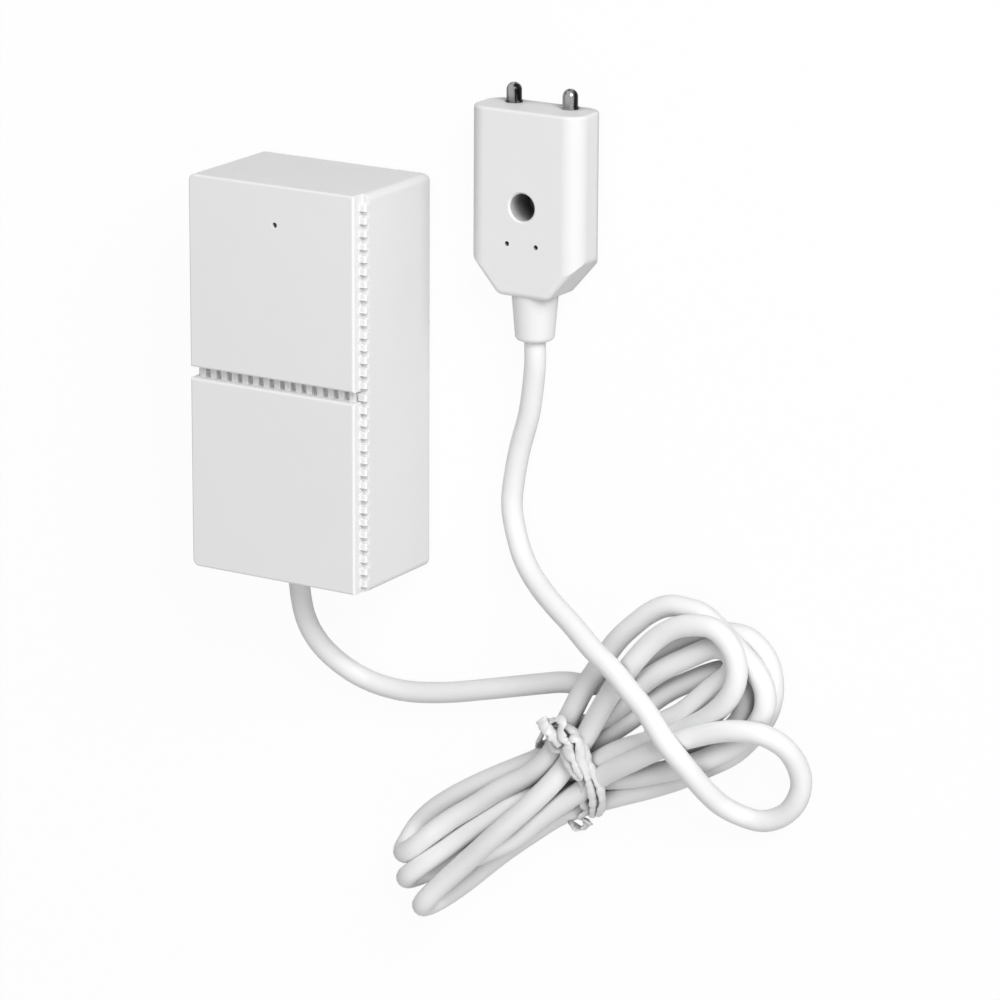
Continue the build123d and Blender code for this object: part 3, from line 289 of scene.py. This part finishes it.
def build_strip(name, points, width):
    """A crumpled coated strip with soft edges, swept along its line."""
    shape = bmesh.new()
    outline = strip_outline()
    rings = []
    for place, side, up in strip_places(smooth_line(in_metres(points), TIE_STEPS)):
        corners = crumpled_ring(place, side, up, width, outline)
        rings.append([shape.verts.new(corner) for corner in corners])
    for first, second in zip(rings, rings[1:]):
        for i in range(TIE_SIDES):
            after = (i + 1) % TIE_SIDES
            shape.faces.new((first[i], first[after], second[after], second[i]))
    shape.faces.new(rings[0][::-1])
    shape.faces.new(rings[-1])
    bmesh.ops.recalc_face_normals(shape, faces=shape.faces)
    for face in shape.faces:
        face.smooth = True
    mesh = bpy.data.meshes.new(name)
    shape.to_mesh(mesh)
    shape.free()
    return new_object(name, mesh)


# Node helpers
def add(tree, kind, inputs=None, **settings):
    """A new node with its settings and with values for its free inputs."""
    node = tree.nodes.new(kind)
    for key, value in settings.items():
        setattr(node, key, value)
    for key, value in (inputs or {}).items():
        node.inputs[key].default_value = value
    return node


def add_noise(tree, place, scale, detail):
    """Noise from 0 to 1 over the object, with the scale in bumps per metre."""
    texture = add(tree, "ShaderNodeTexNoise", {"Scale": scale, "Detail": detail})
    tree.links.new(place, texture.inputs["Vector"])
    return texture.outputs["Fac"]


def add_range(tree, value, inputs):
    """The value moved from one range to another."""
    node = add(tree, "ShaderNodeMapRange", inputs)
    tree.links.new(value, node.inputs["Value"])
    return node.outputs["Result"]


def add_bump(tree, height, depth, below=None):
    """Relief with its depth in millimetres, laid over the relief below it."""
    bump = add(tree, "ShaderNodeBump", {"Strength": 1, "Distance": depth * MM})
    tree.links.new(height, bump.inputs["Height"])
    if below is not None:
        tree.links.new(below, bump.inputs["Normal"])
    return bump.outputs["Normal"]


def mix_colours(tree, share, first, second):
    """The second colour laid over the first. A colour is a value or another node's output."""
    mix = add(tree, "ShaderNodeMix", data_type="RGBA")
    tree.links.new(share, mix.inputs["Factor"])
    for name, colour in (("A", first), ("B", second)):
        if isinstance(colour, bpy.types.NodeSocket):
            tree.links.new(colour, mix.inputs[name])
        else:
            mix.inputs[name].default_value = (*colour, 1)
    return mix.outputs["Result"]


def mix_shaders(tree, share, first, second):
    """The second shader laid over the first. The share is a value or another node's output."""
    mix = add(tree, "ShaderNodeMixShader")
    if isinstance(share, bpy.types.NodeSocket):
        tree.links.new(share, mix.inputs["Fac"])
    else:
        mix.inputs["Fac"].default_value = share
    tree.links.new(first, mix.inputs[1])
    tree.links.new(second, mix.inputs[2])
    return mix.outputs["Shader"]


def seen_rays(tree):
    """1 for the rays that see the background: straight, mirrored or through something clear."""
    path = add(tree, "ShaderNodeLightPath")
    seen = path.outputs["Is Camera Ray"]
    for kind in ("Is Glossy Ray", "Is Transmission Ray"):
        either = add(tree, "ShaderNodeMath", operation="MAXIMUM")
        tree.links.new(seen, either.inputs[0])
        tree.links.new(path.outputs[kind], either.inputs[1])
        seen = either.outputs["Value"]
    return seen


# Finishes
PATCH_DETAIL = 4
GLOSS_DETAIL = 3
RELIEF_DETAIL = 2
GLOSS_FINENESS = 3
GLOSS_SHARE = 0.15

# Edge wear and painted edge highlight start, and are full, where the surface and its rounded copy agree
# by this much
EDGE_WEAR_AND_HIGHLIGHT_STARTS = 0.995
EDGE_WEAR_AND_HIGHLIGHT_FULL = 0.85
WORN_HIGHLIT_GAIN = 1.12
WORN_HIGHLIT_LIFT = 0.03
WORN_HIGHLIT_MOST = 0.95
EDGE_SAMPLES = 4
GAP_SAMPLES = 8

# How far light spreads under soft plastic, in metres, and how much of each colour
GLOW_REACH = 0.0012
GLOW_COLOUR = (0.9, 0.8, 0.7)
COAT_ROUGHNESS = 0.25


def grey(level):
    return (level, level, level)


def patchy_colour(tree, place, colour, patches, share, stretch, contrast):
    """The colour, a little darker and paler from patch to patch; made strong and stretched, as on the
    pins, the streaks are painted reflections.
    """
    drawn = add(tree, "ShaderNodeMapping", {"Scale": (1, stretch, 1)})
    tree.links.new(place, drawn.inputs["Vector"])
    patch = add_noise(tree, drawn.outputs["Vector"], patches, PATCH_DETAIL)
    sharper = add_range(tree, patch, {
        "From Min": 0.5 - 0.5 / contrast,
        "From Max": 0.5 + 0.5 / contrast,
    })
    darker = [level * (1 - share) for level in colour]
    paler = [min(level * (1 + share), 1) for level in colour]
    return mix_colours(tree, sharper, darker, paler)


def worn_and_highlit_edges(tree, plain, colour, wear_and_highlight, wear_and_highlight_radius):
    """The plain paint, paler on edges: rubbed wear, and along rims such as the cover's a painted
    highlight.
    """
    bevel = add(tree, "ShaderNodeBevel", {"Radius": wear_and_highlight_radius * MM}, samples=EDGE_SAMPLES)
    geometry = add(tree, "ShaderNodeNewGeometry")
    turned = add(tree, "ShaderNodeVectorMath", operation="DOT_PRODUCT")
    tree.links.new(bevel.outputs["Normal"], turned.inputs[0])
    tree.links.new(geometry.outputs["Normal"], turned.inputs[1])
    edge = add_range(tree, turned.outputs["Value"], {
        "From Min": EDGE_WEAR_AND_HIGHLIGHT_STARTS,
        "From Max": EDGE_WEAR_AND_HIGHLIGHT_FULL,
        "To Max": wear_and_highlight,
    })
    worn_highlit_tone = [min(level * WORN_HIGHLIT_GAIN + WORN_HIGHLIT_LIFT, WORN_HIGHLIT_MOST) for level in colour]
    return mix_colours(tree, edge, plain, worn_highlit_tone)


def painted_gap_shade(tree, plain, shade, reach, start):
    """The plain paint, with painted shade darkening it in gaps and corners."""
    gap = add(tree, "ShaderNodeAmbientOcclusion", {"Distance": reach * MM}, samples=GAP_SAMPLES)
    light = add_range(tree, gap.outputs["AO"], {
        "From Min": 0.0,
        "From Max": start,
        "To Min": 1 - shade,
        "To Max": 1.0,
    })
    shaded = add(tree, "ShaderNodeVectorMath", operation="SCALE")
    tree.links.new(plain, shaded.inputs[0])
    tree.links.new(light, shaded.inputs["Scale"])
    return shaded.outputs["Vector"]


def uneven_gloss(tree, place, roughness, patches):
    """The roughness, a little more and less from patch to patch."""
    patch = add_noise(tree, place, patches, GLOSS_DETAIL)
    return add_range(tree, patch, {
        "To Min": roughness * (1 - GLOSS_SHARE),
        "To Max": roughness * (1 + GLOSS_SHARE),
    })


def finish(name, colour, roughness, grain=2500, grain_depth=0.0, patches=70, patch_share=0.04,
           wear_and_highlight=0.0, wear_and_highlight_radius=0.5, metallic=0.0, subsurface=0.0, coat=0.0, dents=0.0,
           dent_scale=300, clear=0.0, shade=0.3, shade_reach=4.0, shade_from=0.85, stretch=1.0,
           contrast=1.0):
    """A procedural surface: patchy colour, worn and highlit edges, painted gap shade, uneven gloss, grain
    and dents.
    """
    material = bpy.data.materials.new(name)
    material.use_nodes = True
    tree = material.node_tree
    tree.nodes.clear()
    place = add(tree, "ShaderNodeTexCoord").outputs["Object"]

    paint = patchy_colour(tree, place, colour, patches, patch_share, stretch, contrast)
    # Rubbed wear with a painted edge highlight, then painted shade in gaps and corners
    paint = worn_and_highlit_edges(tree, paint, colour, wear_and_highlight, wear_and_highlight_radius)
    paint = painted_gap_shade(tree, paint, shade, shade_reach, shade_from)
    gloss = uneven_gloss(tree, place, roughness, patches * GLOSS_FINENESS)
    relief = add_bump(tree, add_noise(tree, place, grain, RELIEF_DETAIL), grain_depth)
    relief = add_bump(tree, add_noise(tree, place, dent_scale, RELIEF_DETAIL), dents, relief)

    shader = add(tree, "ShaderNodeBsdfPrincipled", {
        "Metallic": metallic,
        "Subsurface Weight": subsurface,
        "Subsurface Radius": GLOW_COLOUR,
        "Subsurface Scale": GLOW_REACH,
        "Coat Weight": coat,
        "Coat Roughness": COAT_ROUGHNESS,
        "Transmission Weight": clear,
    })
    tree.links.new(paint, shader.inputs["Base Color"])
    tree.links.new(gloss, shader.inputs["Roughness"])
    tree.links.new(relief, shader.inputs["Normal"])
    output = add(tree, "ShaderNodeOutputMaterial")
    tree.links.new(shader.outputs["BSDF"], output.inputs["Surface"])
    return material


# Each finish by the name of its slot. Depths, radii and reaches are millimetres.
FINISH_VALUES = {
    # On the cover the full edge paling paints a bright highlight along the rims; its small shade is
    # painted shade
    "cover_plastic": dict(
        colour=grey(0.78), roughness=0.5, grain=3200, grain_depth=0.02, wear_and_highlight=1.0, wear_and_highlight_radius=0.6,
        patch_share=0.012, dents=0.05, dent_scale=90, shade=0.05, shade_reach=1.5,
    ),
    "base_plastic": dict(
        colour=grey(0.74), roughness=0.55, grain=2600, grain_depth=0.03, wear_and_highlight=0.4, patch_share=0.02,
    ),
    "screw_steel": dict(
        colour=(0.55, 0.55, 0.56), roughness=0.32, grain=4000, grain_depth=0.01, metallic=1.0,
        wear_and_highlight=0.5, wear_and_highlight_radius=0.15, patch_share=0.12, patches=300,
    ),
    "gland_rubber": dict(
        colour=grey(0.72), roughness=0.6, grain=2600, grain_depth=0.03, wear_and_highlight=0.3, patch_share=0.03,
    ),
    "clamp_plastic": dict(
        colour=grey(0.70), roughness=0.5, grain=2600, grain_depth=0.03, wear_and_highlight=0.3, patch_share=0.03,
    ),
    "board_laminate": dict(
        colour=(0.03, 0.16, 0.06), roughness=0.35, grain=1500, grain_depth=0.02, wear_and_highlight=0.5,
        wear_and_highlight_radius=0.3, coat=0.4, patch_share=0.15, patches=200,
    ),
    "holder_plastic": dict(
        colour=grey(0.05), roughness=0.5, grain=2600, grain_depth=0.03, wear_and_highlight=0.5, patch_share=0.1,
    ),
    "cell_sleeve": dict(
        colour=(0.08, 0.14, 0.22), roughness=0.28, grain=900, grain_depth=0.01, wear_and_highlight=0.4, coat=0.5,
        patch_share=0.1,
    ),
    "contact_metal": dict(
        colour=(0.70, 0.68, 0.62), roughness=0.25, grain=4000, grain_depth=0.01, metallic=1.0,
        wear_and_highlight=0.4, wear_and_highlight_radius=0.15, patch_share=0.1, patches=300,
    ),
    "terminal_plastic": dict(
        colour=(0.05, 0.22, 0.10), roughness=0.5, grain=2600, grain_depth=0.03, wear_and_highlight=0.4,
        patch_share=0.08,
    ),
    "shield_metal": dict(
        colour=grey(0.66), roughness=0.3, grain=3000, grain_depth=0.01, metallic=1.0, wear_and_highlight=0.4,
        patch_share=0.08, patches=200,
    ),
    "chip_plastic": dict(
        colour=grey(0.03), roughness=0.6, grain=3500, grain_depth=0.02, wear_and_highlight=0.4, wear_and_highlight_radius=0.2,
        patch_share=0.1,
    ),
    "can_metal": dict(
        colour=(0.60, 0.60, 0.62), roughness=0.35, grain=3000, grain_depth=0.01, metallic=0.9,
        wear_and_highlight=0.4, patch_share=0.1,
    ),
    "light_plastic": dict(
        colour=(0.85, 0.82, 0.60), roughness=0.3, grain=3000, grain_depth=0.01, wear_and_highlight=0.3,
        wear_and_highlight_radius=0.2, subsurface=0.3, patch_share=0.04,
    ),
    "guide_plastic": dict(
        colour=(0.02, 0.02, 0.022), roughness=0.3, grain=3000, grain_depth=0.005, wear_and_highlight=0.2,
        wear_and_highlight_radius=0.2, patch_share=0.2, clear=0.2,
    ),
    "core_plastic": dict(
        colour=(0.42, 0.05, 0.04), roughness=0.4, grain=2000, grain_depth=0.01, wear_and_highlight=0.2,
        wear_and_highlight_radius=0.2, patch_share=0.08,
    ),
    # On the probe strong painted shade darkens the hole and the corners near the boot and floor
    "probe_plastic": dict(
        colour=grey(0.76), roughness=0.56, grain=2800, grain_depth=0.015, wear_and_highlight=0.5, wear_and_highlight_radius=0.5,
        patch_share=0.012, dents=0.06, dent_scale=120, shade=0.92, shade_reach=7.0, shade_from=0.75,
    ),
    # The pins' dark tone and their stretched dark and pale streaks are painted reflections of polished
    # metal
    "pin_metal": dict(
        colour=grey(0.19), roughness=0.14, grain=1200, grain_depth=0.008, metallic=1.0, wear_and_highlight=0.3,
        wear_and_highlight_radius=0.2, patch_share=0.92, patches=900, stretch=0.05, contrast=6.0,
    ),
    "boot_rubber": dict(
        colour=grey(0.76), roughness=0.56, grain=2600, grain_depth=0.02, wear_and_highlight=0.3, patch_share=0.02,
        subsurface=0.1,
    ),
    # On the cord painted shade darkens the creases between strands
    "cord_sheath": dict(
        colour=grey(0.81), roughness=0.54, grain=1600, grain_depth=0.012, wear_and_highlight=0.0, patch_share=0.02,
        patches=120, subsurface=0.12, dents=0.10, dent_scale=140, shade=0.78, shade_reach=4.0,
        shade_from=0.42,
    ),
    "tie_plastic": dict(
        colour=grey(0.70), roughness=0.4, grain=1400, grain_depth=0.03, wear_and_highlight=0.3, wear_and_highlight_radius=0.3,
        patch_share=0.03, subsurface=0.1, dents=0.25, dent_scale=420, shade=0.6,
    ),
}
FINISHES = {name: finish(name, **values) for name, values in FINISH_VALUES.items()}

NODE_FINISHES = {
    "cover_plastic": ["front_cover"],
    "base_plastic": ["rear_base"],
    "screw_steel": ["cover_screws", "clamp_screws", "board_screws", "terminal_screws"],
    "gland_rubber": ["cord_gland"],
    "clamp_plastic": ["cord_clamp"],
    "board_laminate": ["circuit_board"],
    "holder_plastic": ["cell_holder"],
    "cell_sleeve": ["cell_left", "cell_right"],
    "contact_metal": ["contact_plates", "contact_springs", "antenna"],
    "terminal_plastic": ["terminal_block"],
    "shield_metal": ["radio_module"],
    "chip_plastic": ["controller_chip"],
    "can_metal": ["capacitors"],
    "light_plastic": ["indicator_light"],
    "guide_plastic": ["light_guide"],
    "core_plastic": ["box_cores", "probe_cores"],
    "probe_plastic": ["probe_body"],
    "pin_metal": ["contact_pin_left", "contact_pin_right"],
    "boot_rubber": ["probe_boot"],
    "cord_sheath": ["cord_box_side", "cord_hank", "cord_probe_side"],
    "tie_plastic": ["hank_tie"],
}

for slot_name, node_names in NODE_FINISHES.items():
    for node_name in node_names:
        for slot in nodes[node_name].material_slots:
            slot.material = FINISHES[slot_name]

cord = build_cord([point for strand in STRANDS for point in strand])
cord.data.materials.append(FINISHES["cord_sheath"])
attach(cord, "root")
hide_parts("cord_box_side", "cord_hank", "cord_probe_side")

tie = build_strip("tie", TIE_STRIP, TIE_WIDTH)
tie_end = build_strip("tie_end", TIE_END, TIE_WIDTH)
tie_flap = build_strip("tie_flap", TIE_FLAP, TIE_FLAP_WIDTH)
for piece in (tie, tie_end, tie_flap):
    piece.data.materials.append(FINISHES["tie_plastic"])
    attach(piece, "root")
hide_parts("hank_tie")

# Floor, light and camera, in metres
FLOOR_HALF = 3
FLOOR_DROP = 0.0002
FLOOR_TONE = 0.86
FLOOR_ROUGHNESS = 0.9
FLOOR_UNSEEN_TONE = 0.3
FLOOR_GLOW_SHARE = 0.95
SKY_LEVEL_STRENGTH = 0.25
SKY_TOP_STRENGTH = 0.66
BACKDROP = (1, 1, 1, 1)

# Each lamp's place, width and power in watts
LAMP_TARGET = (0.04, -0.02, 0)
LAMPS = {
    "key": ((0.74, 0.68, 0.58), 0.6, 11.0),
    "side": ((0.7, -0.65, 0.3), 0.5, 1.7),
}

# The camera's place, its backward and upward directions, and its lens in millimetres
CAMERA_PLACE = (0.54226, 0.25660, 0.83054)
CAMERA_BACK = Vector((0.49934, 0.27791, 0.82063))
CAMERA_UP = Vector((-0.14929, 0.96059, -0.23446))
CAMERA_LENS = 180
CAMERA_SENSOR = 36


def floor_finish():
    """White to the eye apart from the shadow. The light it throws back is that of a darker grey."""
    material = bpy.data.materials.new("floor")
    material.use_nodes = True
    tree = material.node_tree
    lit = tree.nodes["Principled BSDF"]
    lit.inputs["Base Color"].default_value = (*grey(FLOOR_TONE), 1)
    lit.inputs["Roughness"].default_value = FLOOR_ROUGHNESS
    glow = add(tree, "ShaderNodeEmission", {"Strength": 1.0})
    shown = mix_shaders(tree, FLOOR_GLOW_SHARE, lit.outputs["BSDF"], glow.outputs["Emission"])
    unseen = add(tree, "ShaderNodeBsdfDiffuse", {"Color": (*grey(FLOOR_UNSEEN_TONE), 1)})
    surface = mix_shaders(tree, seen_rays(tree), unseen.outputs["BSDF"], shown)
    tree.links.new(surface, tree.nodes["Material Output"].inputs["Surface"])
    return material


def build_floor():
    """A wide table top just below the part."""
    mesh = bpy.data.meshes.new("floor")
    corners = [(x * FLOOR_HALF, y * FLOOR_HALF, 0) for x, y in ((-1, -1), (1, -1), (1, 1), (-1, 1))]
    mesh.from_pydata(corners, [], [(0, 1, 2, 3)])
    mesh.materials.append(floor_finish())
    table = new_object("floor", mesh)
    table.location.z = -FLOOR_DROP
    return table


def build_world():
    """A soft sky, brightest overhead, behind a plain white backdrop."""
    world = bpy.data.worlds.new("world")
    bpy.context.scene.world = world
    world.use_nodes = True
    tree = world.node_tree
    sky = tree.nodes["Background"]
    sky.inputs["Color"].default_value = BACKDROP
    directions = add(tree, "ShaderNodeTexCoord")
    parts = add(tree, "ShaderNodeSeparateXYZ")
    tree.links.new(directions.outputs["Generated"], parts.inputs["Vector"])
    strength = add_range(tree, parts.outputs["Z"], {
        "From Min": 0.0,
        "From Max": 1.0,
        "To Min": SKY_LEVEL_STRENGTH,
        "To Max": SKY_TOP_STRENGTH,
    })
    tree.links.new(strength, sky.inputs["Strength"])
    backdrop = add(tree, "ShaderNodeBackground", {"Color": BACKDROP, "Strength": 1.0})
    surface = mix_shaders(
        tree, seen_rays(tree), sky.outputs["Background"], backdrop.outputs["Background"],
    )
    tree.links.new(surface, tree.nodes["World Output"].inputs["Surface"])


def build_lamp(name, place, width, power):
    """A square soft light that points at the part."""
    light = bpy.data.lights.new(name, "AREA")
    light.shape = "SQUARE"
    light.size = width
    light.energy = power
    lamp = new_object(name, light)
    lamp.location = place
    aim = Vector(LAMP_TARGET) - Vector(place)
    lamp.rotation_euler = aim.to_track_quat("-Z", "Y").to_euler()


def build_camera():
    """The camera at the photo's place and angle."""
    view = bpy.data.cameras.new("camera")
    view.lens = CAMERA_LENS
    view.sensor_width = CAMERA_SENSOR
    camera = new_object("camera", view)
    right = CAMERA_UP.cross(CAMERA_BACK)
    turn = Matrix((right, CAMERA_UP, CAMERA_BACK)).transposed().to_4x4()
    camera.matrix_world = Matrix.Translation(CAMERA_PLACE) @ turn
    return camera


floor = build_floor()
build_world()
for lamp_name, lamp_values in LAMPS.items():
    build_lamp(lamp_name, *lamp_values)
bpy.context.scene.camera = build_camera()
bpy.context.scene.view_settings.view_transform = "Standard"
